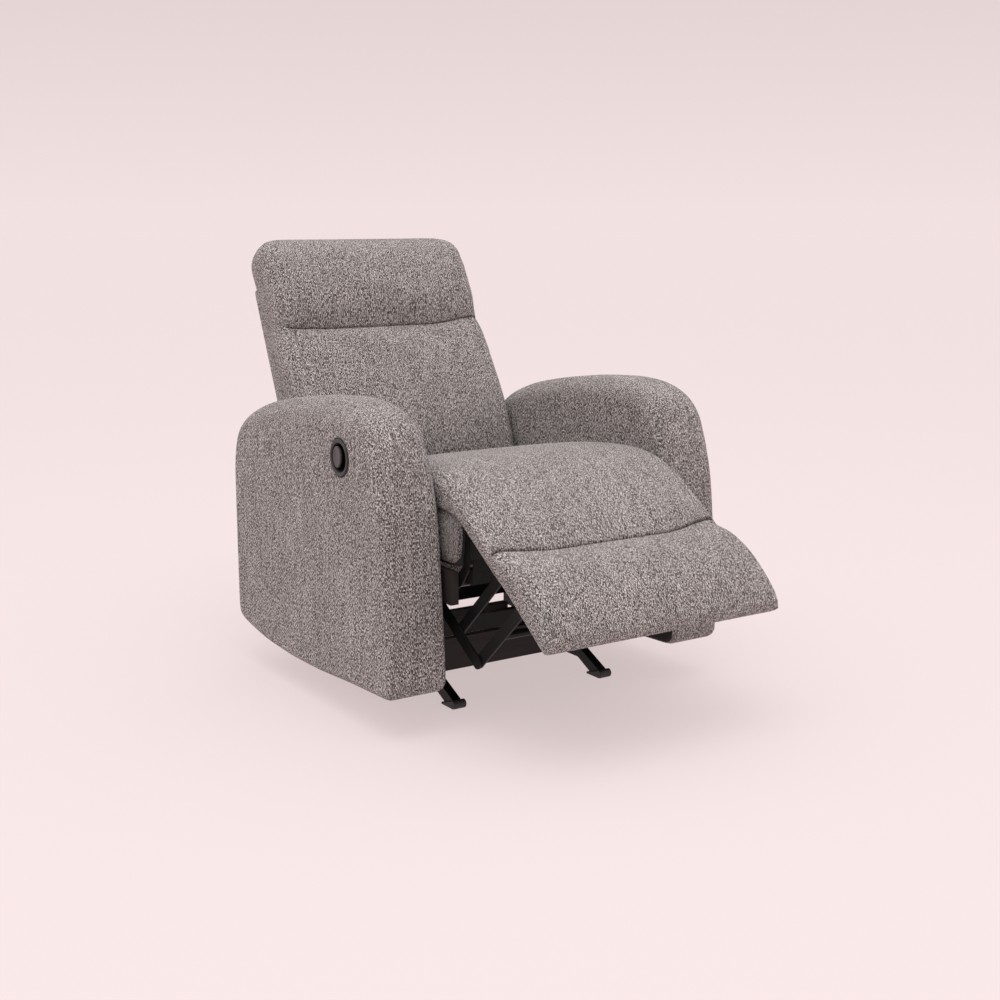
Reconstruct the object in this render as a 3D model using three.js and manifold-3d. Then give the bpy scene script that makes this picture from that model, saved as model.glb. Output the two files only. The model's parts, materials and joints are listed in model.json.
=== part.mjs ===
// Recliner armchair on a glider base, leg rest raised. Millimetres, +Z up, the sitter faces -Y.
// The origin is on the floor, under the middle of the chair. "right" is the sitter's right, at -X.
import * as THREE from "three";
import { mergeVertices } from "three/addons/utils/BufferGeometryUtils.js";
import Module from "manifold-3d";

const wasm = await Module();
wasm.setup();

// ---- Driving dimensions -------------------------------------------------------------------------

const GAP = 0.4; // between pieces that touch
const SIDES = { left: 1, right: -1 };

const CHAIR_HALF = 410; // outer face of an arm
const ARM_INNER = 280; // inner face of an arm
const ARM_ROUND = 20;
const ARM_PANEL = { inner: 292, outer: 310, front: -225, rear: 385, bottom: 96, top: 520 };

const SEAT_HALF = 268;
const SEAT_BOTTOM = 330;
const SEAT_FRONT = -296;
const RAIL = { inner: 258, outer: 276, front: -290, rear: 300, bottom: 257, top: 322 };

// Leg rest linkage: a parallelogram of the hinge, the arm pivot, the knee and the bracket's end
// pivot. The lower link turns with the leg rest, and the struts stay parallel to themselves.
const HINGE = { y: -312, z: 404 };
const LINK_PIVOT = { y: -165, z: 266 };
const LINK_LENGTH = 210;
const LEGREST_DROP = THREE.MathUtils.degToRad(32.8); // below horizontal
const REAR_STRUT_SHARE = 0.6; // where the rear strut sits along the lower link
const PIN_RADIUS = 5;
const BORE_RADIUS = 5.45;

// Layers of the linkage, as distances from the chair's middle plane
const PLATE_LAYER = [252, 255];
const LINK_LAYER = [247, 251];
const STRUT_LAYER = [242, 246];
const BRACKET_LAYER = [236, 240];

const BACK_PIVOT = { y: 336, z: 314 };
const BACK_TILT = THREE.MathUtils.degToRad(24); // from vertical
const BACK_HALF = 264;
const BACK_TOP = 622; // of its wooden frame, along the backrest

// Glider base
const BASE_RAIL = { inner: 177, outer: 197, bottom: 28, top: 56 };
const SHOE_HALF = 15;
const BASE_MIDDLE = 70; // the base is the same in front of and behind this y
const GLIDE_FRONT = 35;
const GLIDE_REAR = 185;
const GLIDE_TOP = 205;
const GLIDE_BOTTOM = 85;
const HANGER_LAYER = [197.4, 201.4];
const SWING_LAYER = [205, 209];
const CARRIER_LAYER = [212, 216];

const LATCH = { y: -99, z: 531, flange: 39, cup: 30, wall: 2, depth: 27 };
// Oval pull, nearly level with the flange; face and back are measured from the arm's outer face
const PADDLE = { centre: -88, halfWidth: 15.5, halfHeight: 21.5, face: 1.5, back: 4.5, hinge: -79 };

// ---- Materials ----------------------------------------------------------------------------------

function finish(color, roughness, metalness) {
  return new THREE.MeshStandardMaterial({ color, roughness, metalness });
}

const upholstery = finish(0x8d8684, 0.95, 0);
const lining = finish(0x1d1b1c, 0.95, 0);
const steel = finish(0x1a1a1b, 0.45, 0.6);
const wood = finish(0x4a3a33, 0.75, 0);
const plastic = finish(0x232323, 0.5, 0);
const springSteel = finish(0x4d4f52, 0.4, 0.9);

// ---- Shape helpers ------------------------------------------------------------------------------

const chair = new THREE.Group();

function place(name, geometry, material, parent = chair) {
  const mesh = new THREE.Mesh(geometry, material);
  mesh.name = name;
  parent.add(mesh);
  return mesh;
}

// The closed outline through a list of [y, z] points
function outline(points) {
  return new THREE.Shape(points.map(([y, z]) => new THREE.Vector2(y, z)));
}

// A side-view shape given a thickness across the chair, from x = a to x = b
function acrossChair(shape, a, b, bevel = 0, curveSegments = 6) {
  const [low, high] = [Math.min(a, b), Math.max(a, b)];
  const geometry = new THREE.ExtrudeGeometry(shape, {
    depth: high - low - 2 * bevel,
    curveSegments,
    bevelEnabled: bevel > 0,
    bevelSize: bevel,
    bevelThickness: bevel,
    bevelOffset: -bevel,
    bevelSegments: 3,
  });
  const yzx = new THREE.Matrix4().makeBasis(
    new THREE.Vector3(0, 1, 0),
    new THREE.Vector3(0, 0, 1),
    new THREE.Vector3(1, 0, 0),
  );
  return geometry.applyMatrix4(yzx).translate(low + bevel, 0, 0);
}

// The same, on the side of the chair that sign says, between two distances from the middle plane
function onSide(sign, shape, [near, far], bevel = 0) {
  return acrossChair(shape, sign * near, sign * far, bevel);
}

function block(x, y, z) {
  return new THREE.BoxGeometry(x[1] - x[0], y[1] - y[0], z[1] - z[0]).translate(
    (x[0] + x[1]) / 2,
    (y[0] + y[1]) / 2,
    (z[0] + z[1]) / 2,
  );
}

// A round bar along X
function bar(radius, a, b, { y, z }, sides = 14) {
  return new THREE.CylinderGeometry(radius, radius, Math.abs(b - a), sides)
    .rotateZ(Math.PI / 2)
    .translate((a + b) / 2, y, z);
}

function tube(points, radius, steps, sides = 8) {
  const ring = new THREE.Shape().absarc(0, 0, radius, 0, 2 * Math.PI);
  const path = new THREE.CatmullRomCurve3(points, false, "centripetal");
  return new THREE.ExtrudeGeometry(ring, {
    steps,
    extrudePath: path,
    bevelEnabled: false,
    curveSegments: sides,
  });
}

// A flat link with a round end at each of two pivots, and a bore at each point of bores
function linkShape(from, to, radius, bores) {
  const angle = Math.atan2(to.z - from.z, to.y - from.y);
  const shape = new THREE.Shape();
  shape.absarc(to.y, to.z, radius, angle - Math.PI / 2, angle + Math.PI / 2);
  shape.absarc(from.y, from.z, radius, angle + Math.PI / 2, angle + 1.5 * Math.PI);
  shape.closePath();
  for (const { y, z } of bores) {
    shape.holes.push(new THREE.Path().absarc(y, z, BORE_RADIUS, 0, 2 * Math.PI, true));
  }
  return shape;
}

function solidOf(geometry) {
  const bare = geometry.index ? geometry.toNonIndexed() : geometry.clone();
  bare.deleteAttribute("normal");
  bare.deleteAttribute("uv");
  const merged = mergeVertices(bare, 1e-3);
  return new wasm.Manifold(
    new wasm.Mesh({
      numProp: 3,
      vertProperties: merged.attributes.position.array,
      triVerts: new Uint32Array(merged.index.array),
    }),
  );
}

function geometryOf(solid) {
  const { vertProperties, triVerts } = solid.getMesh();
  const geometry = new THREE.BufferGeometry();
  geometry.setAttribute("position", new THREE.BufferAttribute(vertProperties, 3));
  return geometry.setIndex(new THREE.BufferAttribute(triVerts, 1));
}

function joined(first, ...others) {
  return geometryOf(others.reduce((solid, g) => solid.add(solidOf(g)), solidOf(first)));
}

function cut(first, ...tools) {
  return geometryOf(tools.reduce((solid, g) => solid.subtract(solidOf(g)), solidOf(first)));
}

function along(from, to, share) {
  return { y: from.y + share * (to.y - from.y), z: from.z + share * (to.z - from.z) };
}

// ---- Glider base --------------------------------------------------------------------------------

const mirrored = (points) => points.map(([y, z]) => [2 * BASE_MIDDLE - y, z]);

function baseRailShape() {
  const frontLeg = [
    [-89, BASE_RAIL.bottom],
    [-134, 5.5],
    [-166, 16.7],
    [-82, BASE_RAIL.top],
  ];
  return outline([...frontLeg, ...mirrored(frontLeg).reverse()]);
}

// A plastic shoe with a flat sole and a round toe, under the slanted end of a leg
function shoeShape(rear) {
  const toe = Array.from({ length: 9 }, (_, i) => {
    const angle = -Math.PI / 2 - (i * Math.PI) / 8;
    return [-171.5 + 9.5 * Math.cos(angle), 9.5 + 9.5 * Math.sin(angle)];
  });
  const points = [[-128, 0], ...toe, [-167.2, 16.7], [-134, 5.1], [-128, 4.6]];
  return outline(rear ? mirrored(points) : points);
}

function hangerShape() {
  const half = 16;
  const post = (y) => [
    [y + half + 14, 64],
    [y + half, 80],
    ...Array.from({ length: 9 }, (_, i) => [
      y + half * Math.cos((i * Math.PI) / 8),
      GLIDE_TOP + half * Math.sin((i * Math.PI) / 8),
    ]),
    [y - half, 80],
    [y - half - 14, 64],
  ];
  const foot = [
    [GLIDE_FRONT - 30, 30],
    [GLIDE_REAR + 30, 30],
  ];
  return outline([...foot, ...post(GLIDE_REAR), ...post(GLIDE_FRONT)]);
}

for (const [side, sign] of Object.entries(SIDES)) {
  const railSpan = [BASE_RAIL.inner, BASE_RAIL.outer];
  place(`base_rail_${side}`, onSide(sign, baseRailShape(), railSpan), steel);
  for (const end of ["front", "rear"]) {
    const middle = (BASE_RAIL.inner + BASE_RAIL.outer) / 2;
    const shoeSpan = [middle - SHOE_HALF, middle + SHOE_HALF];
    const shoe = onSide(sign, shoeShape(end === "rear"), shoeSpan, 2);
    place(`foot_shoe_${end}_${side}`, shoe, plastic);
  }
  const pins = [GLIDE_FRONT, GLIDE_REAR].map((y) =>
    bar(PIN_RADIUS, sign * (HANGER_LAYER[0] + 1), sign * SWING_LAYER[1], { y, z: GLIDE_TOP }),
  );
  place(`glide_hanger_${side}`, joined(onSide(sign, hangerShape(), HANGER_LAYER), ...pins), steel);
}

const baseSpan = [-BASE_RAIL.inner + GAP, BASE_RAIL.inner - GAP];
place("base_cross_front", block(baseSpan, [-45, -27], [38, 108]), wood);
place("base_cross_rear", block(baseSpan, [190, 208], [34, 92]), wood);

// ---- Swing arms of the glider -------------------------------------------------------------------

for (const [side, sign] of Object.entries(SIDES)) {
  for (const [end, y] of [["front", GLIDE_FRONT], ["rear", GLIDE_REAR]]) {
    const top = { y, z: GLIDE_TOP };
    const bottom = { y, z: GLIDE_BOTTOM };
    const arm = onSide(sign, linkShape(top, bottom, 13, [top, bottom]), SWING_LAYER);
    place(`swing_arm_${end}_${side}`, arm, steel);
  }
}

// ---- Seat frame ---------------------------------------------------------------------------------

// Z-shaped carrier: a web that hangs on the swing arms, and a flange under the wooden side rail
function carrier(sign) {
  const length = [-70, 262];
  const webSpan = CARRIER_LAYER.map((x) => sign * x).sort((a, b) => a - b);
  const flangeSpan = [CARRIER_LAYER[0], RAIL.outer].map((x) => sign * x).sort((a, b) => a - b);
  const pins = [GLIDE_FRONT, GLIDE_REAR].map((y) =>
    bar(PIN_RADIUS, sign * SWING_LAYER[0], sign * (CARRIER_LAYER[1] - 1), { y, z: GLIDE_BOTTOM }),
  );
  return joined(block(webSpan, length, [68, 254]), block(flangeSpan, length, [252.4, 256.4]), ...pins);
}

// Steel plate with the lower link's pivot and a horn up to the leg rest's hinge
function sidePlate(sign) {
  const shape = outline([
    [-110, 232], [-96, 246], [-96, 308], [-110, 318], [-285, 318], [-303, 336], [-303, 398],
    [-305, 412], [-312, 415], [-319, 412], [-322, 404], [-321, 330], [-296, 296], [-200, 232],
  ]);
  const [inner, outer] = PLATE_LAYER;
  const linkPin = bar(PIN_RADIUS, sign * (LINK_LAYER[0] + 0.2), sign * (inner + 1), LINK_PIVOT);
  const hingePin = bar(PIN_RADIUS, sign * (BRACKET_LAYER[0] - 1), sign * (inner + 1), HINGE);
  return joined(onSide(sign, shape, [inner, outer]), linkPin, hingePin);
}

// Steel plate behind the side rail, with the backrest's pivot pin
function reclinePlate(sign) {
  const shape = outline([
    [205, 264], [300, 264], [350, 298], [352, 328], [338, 334], [318, 330], [205, 318],
  ]);
  const pin = bar(PIN_RADIUS, sign * 248, sign * 255, BACK_PIVOT);
  return joined(onSide(sign, shape, [253.5, 257.5]), pin);
}

// Release cable: out of the latch, down inside the right arm and through the side rail
const cablePoints = [
  [-394, 499], [-388, 470], [-366, 420], [-345, 345], [-326, 302], [-300, 289], [-276, 288], [-256, 288],
].map(([x, z]) => new THREE.Vector3(x, LATCH.y, z));
const cableTunnel = () => {
  const start = cablePoints[0].clone().add(new THREE.Vector3(-1, 0, 6));
  return tube([start, ...cablePoints, new THREE.Vector3(-250, LATCH.y, 288)], 3.4, 24);
};

for (const [side, sign] of Object.entries(SIDES)) {
  place(`glide_carrier_${side}`, carrier(sign), steel);
  place(`side_plate_${side}`, sidePlate(sign), steel);
  place(`recline_plate_${side}`, reclinePlate(sign), steel);
  const railSpan = [RAIL.inner, RAIL.outer].map((x) => sign * x).sort((a, b) => a - b);
  const rail = block(railSpan, [RAIL.front, RAIL.rear], [RAIL.bottom, RAIL.top]);
  place(`side_rail_${side}`, sign < 0 ? cut(rail, cableTunnel()) : rail, wood);
}

const chassisSpan = [-CARRIER_LAYER[0] + GAP, CARRIER_LAYER[0] - GAP];
place("chassis_cross_front", block(chassisSpan, [-66, -48], [126, 156]), steel);
place("chassis_cross_rear", block(chassisSpan, [250, 258], [97, 127]), steel);
place("front_rail", block([-232, 232], [-294, -272], [292, 322]), wood);
place("rear_rail", block([-253, 253], [266, 288], [268, 322]), wood);
place("rear_apron", block([-278, 278], [372, 384], [104, 268]), upholstery);
place("seat_front_liner", block([-231, 231], [-299.6, -296.6], [294, 436]), lining);

// Zigzag seat spring between the front and the rear rail
function sinuousSpring(x) {
  const turns = 7;
  const amplitude = 20;
  const [start, end] = [-284, 277];
  const count = 8 * turns;
  const points = Array.from({ length: count + 1 }, (_, i) => {
    const share = i / count;
    const sway = amplitude * Math.sin(2 * Math.PI * turns * share);
    return new THREE.Vector3(x + sway, start + share * (end - start), 326);
  });
  return tube(points, 1.9, count, 3);
}

[-165, -55, 55, 165].forEach((x, i) => place(`seat_spring_${i + 1}`, sinuousSpring(x), springSteel));

function seatCushion() {
  const shape = outline([
    [-262, SEAT_BOTTOM], [-286, 338], [SEAT_FRONT, 360], [SEAT_FRONT, 446], [-286, 468], [-262, 484],
    [-225, 494], [-178, 497], [-71, 489], [113, 457], [255, 431], [255, 345], [240, SEAT_BOTTOM],
  ]);
  return acrossChair(shape, -SEAT_HALF, SEAT_HALF, 8);
}

place("seat_cushion", seatCushion(), upholstery);

// ---- Arms ---------------------------------------------------------------------------------------

// Side view of an arm: sloping front, long crown that falls to the rear, belly rising at the back
function armShape() {
  const crown = [
    [-226, 588], [-185, 618], [-133, 634], [-60, 639], [20, 635], [118, 626], [240, 602], [320, 580],
  ];
  const shape = new THREE.Shape();
  shape.moveTo(-286, 117);
  shape.lineTo(-267, 373);
  shape.lineTo(-246, 530);
  shape.splineThru(crown.map(([y, z]) => new THREE.Vector2(y, z)));
  shape.bezierCurveTo(372, 563, 415, 532, 419, 476);
  shape.lineTo(420, 124);
  shape.quadraticCurveTo(420, 92, 380, 88);
  shape.lineTo(272, 71);
  shape.bezierCurveTo(190, 63, 60, 62, -107, 74);
  shape.lineTo(-254, 81);
  shape.quadraticCurveTo(-289, 82, -286, 117);
  return shape;
}

// The plywood panel that carries an arm, or the slot for it when it is grown by a clearance
function armPanel(sign, clearance = 0) {
  const { inner, outer, front, rear, bottom, top } = ARM_PANEL;
  const span = [inner - clearance, outer + clearance].map((x) => sign * x).sort((a, b) => a - b);
  const lowest = clearance > 0 ? 0 : bottom;
  return block(span, [front - clearance, rear + clearance], [lowest, top + clearance]);
}

function latchPocket() {
  return bar(LATCH.cup + GAP + 0.3, -CHAIR_HALF - 5, -CHAIR_HALF + LATCH.depth + GAP, LATCH, 32);
}

for (const [side, sign] of Object.entries(SIDES)) {
  const pad = onSide(sign, armShape(), [ARM_INNER, CHAIR_HALF], ARM_ROUND);
  const extra = sign < 0 ? [latchPocket(), cableTunnel()] : [];
  place(`arm_pad_${side}`, cut(pad, armPanel(sign, GAP), ...extra), upholstery);
  const panel = armPanel(sign);
  place(`arm_panel_${side}`, sign < 0 ? cut(panel, cableTunnel()) : panel, wood);
}

place("release_cable", tube(cablePoints, 2.5, 24), lining);

// ---- Release latch ------------------------------------------------------------------------------

// Round cup with a flange, let into the outer face of the right arm
function latchHousing() {
  const { flange, cup, wall, depth } = LATCH;
  const profile = [
    [0, -depth], [cup, -depth], [cup, GAP], [flange, GAP], [flange, 1.8], [flange - 2, 3.2],
    [cup + 1, 3.2], [cup - wall, 1], [cup - wall, wall - depth], [0, wall - depth],
  ].map(([r, h]) => new THREE.Vector2(r, h));
  return new THREE.LatheGeometry(profile, 32).rotateZ(Math.PI / 2).translate(-CHAIR_HALF, LATCH.y, LATCH.z);
}

// Oval pull with its upright hinge pin, whose ends run in the wall of the cup
function latchPaddle() {
  const { centre, halfWidth, halfHeight, face, back, hinge } = PADDLE;
  const shape = new THREE.Shape().absellipse(centre, LATCH.z, halfWidth, halfHeight, 0, 2 * Math.PI);
  const oval = acrossChair(shape, -CHAIR_HALF - face, -CHAIR_HALF + back, 1.2, 12);
  const pin = new THREE.CylinderGeometry(1.3, 1.3, 35.8, 12).rotateX(Math.PI / 2);
  return joined(oval, pin.translate(-CHAIR_HALF + (back - face) / 2, hinge, LATCH.z));
}

place("latch_housing", latchHousing(), plastic);
place("latch_paddle", latchPaddle(), plastic);

// ---- Leg rest -----------------------------------------------------------------------------------

const linkReach = {
  y: -LINK_LENGTH * Math.cos(LEGREST_DROP),
  z: -LINK_LENGTH * Math.sin(LEGREST_DROP),
};
const knee = { y: LINK_PIVOT.y + linkReach.y, z: LINK_PIVOT.z + linkReach.z };
const bracketEnd = { y: HINGE.y + linkReach.y, z: HINGE.z + linkReach.z };
const rearKnee = along(LINK_PIVOT, knee, REAR_STRUT_SHARE);
const rearBracket = along(HINGE, bracketEnd, REAR_STRUT_SHARE);

// Everything in this group has its own frame at the hinge: -Y runs down the leg rest, +Z out of it
const legrest = new THREE.Group();
legrest.position.set(0, HINGE.y, HINGE.z);
legrest.rotation.x = LEGREST_DROP;
chair.add(legrest);

const BOARD = [13, 22]; // its underside and its top above the line of the pivots
place("legrest_board", block([-258, 258], [-328, -26], BOARD), wood, legrest);
const upperPad = [[-27, 22.4], [-30, 44], [-60, 49], [-92, 48], [-102, 42], [-103, 22.4]];
place("legrest_pad_upper", acrossChair(outline(upperPad), -266, 266, 5), upholstery, legrest);
const lowerPad = [
  [-104, 22.4], [-106, 44], [-124, 54], [-160, 65], [-203, 67], [-240, 62], [-294, 50], [-330, 40],
  [-347, 22.4],
];
place("legrest_pad_lower", acrossChair(outline(lowerPad), -268, 268, 5), upholstery, legrest);

for (const [side, sign] of Object.entries(SIDES)) {
  const strip = linkShape(HINGE, bracketEnd, 12, [HINGE]);
  const pins = [bracketEnd, rearBracket].map((at) =>
    bar(PIN_RADIUS, sign * (BRACKET_LAYER[0] + 1), sign * (STRUT_LAYER[1] + 0.6), at),
  );
  place(`legrest_bracket_${side}`, joined(onSide(sign, strip, BRACKET_LAYER), ...pins), steel);

  const link = linkShape(LINK_PIVOT, knee, 13, [LINK_PIVOT]);
  const kneePins = [knee, rearKnee].map((at) =>
    bar(PIN_RADIUS, sign * (STRUT_LAYER[0] - 0.5), sign * (LINK_LAYER[0] + 1), at),
  );
  place(`lower_link_${side}`, joined(onSide(sign, link, LINK_LAYER), ...kneePins), steel);

  const front = linkShape(knee, bracketEnd, 12, [knee, bracketEnd]);
  place(`front_strut_${side}`, onSide(sign, front, STRUT_LAYER), steel);
  const rear = linkShape(rearKnee, rearBracket, 11, [rearKnee, rearBracket]);
  place(`rear_strut_${side}`, onSide(sign, rear, STRUT_LAYER), steel);
}

place("torque_tube", bar(11, -246.6, 246.6, LINK_PIVOT, 16), steel);
place("strut_tube", bar(8, -241, 241, along(knee, bracketEnd, 0.5), 14), steel);

// ---- Backrest -----------------------------------------------------------------------------------

// This group's frame is at the recline pivot: +Z runs up the backrest, +Y out of its rear
const backrest = new THREE.Group();
backrest.position.set(0, BACK_PIVOT.y, BACK_PIVOT.z);
backrest.rotation.x = -BACK_TILT;
chair.add(backrest);

// Two stiles, two slats and three rails, with six windows between them
function backFrame() {
  const [rise, top] = [28, BACK_TOP];
  const windows = [];
  for (const x of [-150, 0, 150]) {
    windows.push(block([x - 56, x + 56], [0, 60], [rise + 42, 300]));
    windows.push(block([x - 56, x + 56], [0, 60], [340, top - 42]));
  }
  return cut(block([-248, 248], [8, 31], [rise, top]), ...windows);
}

function backBracket(sign) {
  const shape = outline([
    [-13, -6], [-6, -13], [6, -13], [13, -6], [28, 30], [28, 262], [8, 262], [8, 56], [-13, 8],
  ]);
  shape.holes.push(new THREE.Path().absarc(0, 0, BORE_RADIUS, 0, 2 * Math.PI, true));
  return onSide(sign, shape, [248.8, 252.8]);
}

const backFront = [[-78, 66], [-92, 91], [-102, 163], [-100, 234], [-80, 337], [-62, 428]];
const backCushion = [[7, 66], [7, 433], [-50, 433], ...backFront.reverse()];
const pillow = [
  [7, 438], [7, BACK_TOP + GAP], [31.8, BACK_TOP + GAP], [31.8, 572], [41, 572], [43, 598], [35, 628],
  [16, 650], [-16, 662], [-42, 652], [-56, 626], [-59, 545], [-59, 480], [-50, 438],
];

place("back_frame", backFrame(), wood, backrest);
place("back_panel", block([-BACK_HALF, BACK_HALF], [31.4, 48], [32, 566]), upholstery, backrest);
place("back_cushion", acrossChair(outline(backCushion), -BACK_HALF, BACK_HALF, 10), upholstery, backrest);
place("head_pillow", acrossChair(outline(pillow), -BACK_HALF, BACK_HALF, 2), upholstery, backrest);
for (const [side, sign] of Object.entries(SIDES)) {
  place(`back_bracket_${side}`, backBracket(sign), steel, backrest);
}

export default chair;
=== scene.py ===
"""Looks of the recliner armchair: upholstery, finishes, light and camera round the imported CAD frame."""
import json
import math

import bmesh
import bpy
import numpy as np
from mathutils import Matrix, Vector


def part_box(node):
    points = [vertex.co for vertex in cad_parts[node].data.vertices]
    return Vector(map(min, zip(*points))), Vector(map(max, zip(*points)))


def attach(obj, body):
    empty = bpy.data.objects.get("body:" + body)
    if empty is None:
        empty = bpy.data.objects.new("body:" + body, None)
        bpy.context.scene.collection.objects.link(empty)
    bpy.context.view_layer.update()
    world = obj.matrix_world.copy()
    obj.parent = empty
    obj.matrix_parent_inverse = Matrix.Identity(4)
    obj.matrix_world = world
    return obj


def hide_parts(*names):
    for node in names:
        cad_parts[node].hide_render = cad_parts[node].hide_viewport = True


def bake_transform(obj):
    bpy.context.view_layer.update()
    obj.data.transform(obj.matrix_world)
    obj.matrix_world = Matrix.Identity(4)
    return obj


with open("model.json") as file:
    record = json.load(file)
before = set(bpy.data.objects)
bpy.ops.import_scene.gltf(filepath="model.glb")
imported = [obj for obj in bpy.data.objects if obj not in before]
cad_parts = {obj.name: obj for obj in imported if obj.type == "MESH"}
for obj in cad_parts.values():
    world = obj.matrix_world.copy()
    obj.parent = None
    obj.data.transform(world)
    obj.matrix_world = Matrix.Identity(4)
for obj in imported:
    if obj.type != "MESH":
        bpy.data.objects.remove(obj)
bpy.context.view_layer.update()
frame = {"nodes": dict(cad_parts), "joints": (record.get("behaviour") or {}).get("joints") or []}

MM = 0.001

# Photographer's viewpoint: degrees, and metres in the frame of the part
VIEW_AZIMUTH = -33.45
VIEW_ELEVATION = 11.0
VIEW_DISTANCE = 3.302
VIEW_AIM = (0.075, 0.070, 0.368)
LENS = 53.24


# ---- Frame ---------------------------------------------------------------------------------------

def pivot(joint_name):
    return np.array(next(joint["pos_m"] for joint in frame["joints"] if joint["name"] == joint_name))


def box_of(node_name):
    """Lowest and highest corner of a CAD node."""
    return [np.array(corner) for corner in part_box(node_name)]


HINGE = pivot("legrest_lift")
BACK_PIVOT = pivot("recline")
BACK_TILT = math.radians(24)  # from vertical
LEGREST_DROP = math.radians(32.8)  # below horizontal


class Local:
    """A side-view frame at a pivot, turned about X, in which a moving part's shape is written in mm."""

    def __init__(self, origin, angle):
        self.origin = np.array(origin)
        self.cos, self.sin = math.cos(angle), math.sin(angle)

    def place(self, points):
        """World metres of points given as x, y, z in mm in this frame."""
        p = np.asarray(points, float) * MM
        out = p.copy()
        out[..., 1] = p[..., 1] * self.cos - p[..., 2] * self.sin
        out[..., 2] = p[..., 1] * self.sin + p[..., 2] * self.cos
        return out + self.origin


CHAIR = Local((0, 0, 0), 0)
LEG = Local((0, HINGE[1], HINGE[2]), LEGREST_DROP)
BACK = Local((0, BACK_PIVOT[1], BACK_PIVOT[2]), -BACK_TILT)


# ---- Node materials ------------------------------------------------------------------------------

class Nodes:
    """Short calls for building one material's node tree."""

    def __init__(self, name):
        self.material = bpy.data.materials.new(name)
        self.material.use_nodes = True
        self.tree = self.material.node_tree
        self.tree.nodes.clear()
        self.output = self.tree.nodes.new("ShaderNodeOutputMaterial")
        self.shader = self.tree.nodes.new("ShaderNodeBsdfPrincipled")
        self.link(self.shader.outputs["BSDF"], self.output.inputs["Surface"])
        self.coordinates = self.tree.nodes.new("ShaderNodeTexCoord").outputs["Object"]

    def link(self, a, b):
        self.tree.links.new(a, b)

    def feed(self, socket, value):
        if isinstance(value, bpy.types.NodeSocket):
            self.link(value, socket)
        else:
            socket.default_value = value

    def set(self, **values):
        for key, value in values.items():
            self.feed(self.shader.inputs[key.replace("_", " ")], value)

    def scaled(self, scale):
        node = self.tree.nodes.new("ShaderNodeMapping")
        node.inputs["Scale"].default_value = scale
        self.link(self.coordinates, node.inputs["Vector"])
        return node.outputs["Vector"]

    def noise(self, scale, stretch=(1, 1, 1), detail=2.0, roughness=0.5):
        node = self.tree.nodes.new("ShaderNodeTexNoise")
        self.link(self.scaled(stretch), node.inputs["Vector"])
        node.inputs["Scale"].default_value = scale
        node.inputs["Detail"].default_value = detail
        node.inputs["Roughness"].default_value = roughness
        return node.outputs["Fac"]

    def split(self, vector):
        node = self.tree.nodes.new("ShaderNodeSeparateXYZ")
        self.link(vector, node.inputs["Vector"])
        return [node.outputs[axis] for axis in "XYZ"]

    def join(self, x, y, z):
        node = self.tree.nodes.new("ShaderNodeCombineXYZ")
        for socket, value in zip(node.inputs, (x, y, z)):
            self.feed(socket, value)
        return node.outputs["Vector"]

    def choose(self, yes, otherwise, value):
        """value where yes is 1, otherwise where it is 0."""
        return self.math("MULTIPLY_ADD", yes, self.math("SUBTRACT", value, otherwise), otherwise)

    def random(self, x, y, z):
        """One random number for each whole-number cell."""
        node = self.tree.nodes.new("ShaderNodeTexWhiteNoise")
        cell = self.join(*(self.math("FLOOR", value) for value in (x, y, z)))
        self.link(cell, node.inputs["Vector"])
        return node.outputs["Value"]

    def math(self, operation, a, b=0.0, c=0.0):
        node = self.tree.nodes.new("ShaderNodeMath")
        node.operation = operation
        for socket, value in zip(node.inputs, (a, b, c)):
            self.feed(socket, value)
        return node.outputs["Value"]

    def spread(self, value, low, high, to_low=0.0, to_high=1.0):
        node = self.tree.nodes.new("ShaderNodeMapRange")
        for name, number in (("From Min", low), ("From Max", high), ("To Min", to_low), ("To Max", to_high)):
            node.inputs[name].default_value = number
        self.feed(node.inputs["Value"], value)
        return node.outputs["Result"]

    def mix(self, share, under, color):
        """The colour laid over the one from another node by a share."""
        node = self.tree.nodes.new("ShaderNodeMix")
        node.data_type = "RGBA"
        for index, value in ((0, share), (6, under), (7, (*color, 1.0))):
            self.feed(node.inputs[index], value)
        return node.outputs[2]

    def ramp(self, value, *stops):
        node = self.tree.nodes.new("ShaderNodeValToRGB")
        elements = node.color_ramp.elements
        while len(elements) < len(stops):
            elements.new(0.5)
        for element, (position, color) in zip(elements, stops):
            element.position = position
            element.color = (*color, 1.0)
        self.feed(node.inputs["Fac"], value)
        return node.outputs["Color"]

    def bump(self, height, strength, distance):
        node = self.tree.nodes.new("ShaderNodeBump")
        node.inputs["Strength"].default_value = strength
        node.inputs["Distance"].default_value = distance
        self.feed(node.inputs["Height"], height)
        self.link(node.outputs["Normal"], self.shader.inputs["Normal"])


# Threads of the upholstery cloth, in metres
YARN_PITCH = 0.0014
ARM_SIDE_PITCH = 0.0020
FLOAT_LENGTH = 0.0036
STREAK_LENGTH = 0.060
THREAD_WANDER = 0.004

YARN_TONES = [
    (0.16, (0.018, 0.016, 0.015)),
    (0.40, (0.085, 0.076, 0.073)),
    (0.60, (0.225, 0.204, 0.195)),
    (0.84, (0.640, 0.592, 0.572)),
]

# A face is a side where its normal's x passes the first, and level where its z passes the second
SIDE_TURN = 0.72
LEVEL_TURN = 0.74


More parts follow.
